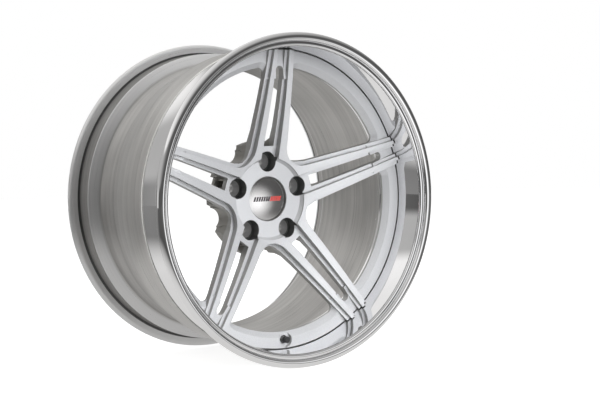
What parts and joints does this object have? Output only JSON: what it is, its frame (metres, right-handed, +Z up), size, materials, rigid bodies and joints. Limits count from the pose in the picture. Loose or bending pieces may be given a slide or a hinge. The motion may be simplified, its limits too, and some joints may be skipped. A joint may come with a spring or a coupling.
{
  "type": "wheel rim",
  "caption": "Three-piece forged wheel rim with split spokes, a deep polished lip, a bolted inner barrel, a push-in centre cap and a bent valve stem.",
  "frame": {"origin": "centre of the hub mounting face, on the axle's axis", "axes": "+Y along the axle towards the car, so the outer face looks along -Y; +Z up with one spoke straight up; +X to the right seen from the front"},
  "size_m": [0.522, 0.3054, 0.522],
  "materials": {
    "centre": "satin silver, forged and machined aluminium alloy under clear powder coat",
    "lip": "mirror-polished spun aluminium",
    "barrel": "brushed and clear-coated spun aluminium",
    "sealant": "cured pale polyurethane sealant",
    "bolt_steel": "zinc-plated steel",
    "insert_steel": "plain steel",
    "cap_metal": "polished aluminium",
    "badge": "smooth domed resin, plain",
    "seal_rubber": "matt black rubber",
    "valve_metal": "bright turned aluminium",
    "brass": "turned brass",
    "gasket": "red PTFE",
    "cap_plastic": "moulded black plastic"
  },
  "bodies": {
    "rim": {"wheel_center": "centre", "outer_lip": "lip", "inner_barrel": "barrel", "joint_sealant": "sealant", "rim_bolts": "bolt_steel", "bolt_washers": "bolt_steel", "thread_inserts": "insert_steel", "valve_stem": "valve_metal", "valve_grommet": "seal_rubber", "valve_washer": "bolt_steel", "valve_nut": "brass", "core_body": "brass", "core_gasket": "gasket", "core_spring": "insert_steel"},
    "centre_cap": {"cap_body": "cap_metal", "cap_badge": "badge", "cap_o_ring": "seal_rubber"},
    "core_plunger": {"core_pin": "brass", "core_cup": "seal_rubber"},
    "cap_travel": {"valve_cap_seal": "seal_rubber"},
    "cap_grip": {"valve_cap": "cap_plastic"}
  },
  "joints": [
    {"name": "centre_cap_pull", "type": "slide", "parent": "rim", "child": "centre_cap", "axis": [0, -1, 0], "range_m": [0, 0.03]},
    {"name": "core_press", "type": "slide", "parent": "rim", "child": "core_plunger", "axis": [0, 1, 0], "range_m": [0, 0.0015], "stiffness_N_per_m": 400, "springref_m": -0.001, "deforming": ["core_spring"]},
    {"name": "valve_cap_rise", "type": "slide", "parent": "rim", "child": "cap_travel", "axis": [0, -1, 0], "range_m": [0, 0.0079]},
    {"name": "valve_cap_turn", "type": "hinge", "parent": "cap_travel", "child": "cap_grip", "pos_m": [0, -0.08, -0.2245], "axis": [0, -1, 0], "range_deg": [0, 3600]}
  ],
  "couplings": [
    {"joint": "valve_cap_turn", "follows": "valve_cap_rise", "rad_per_m": 7912}
  ]
}
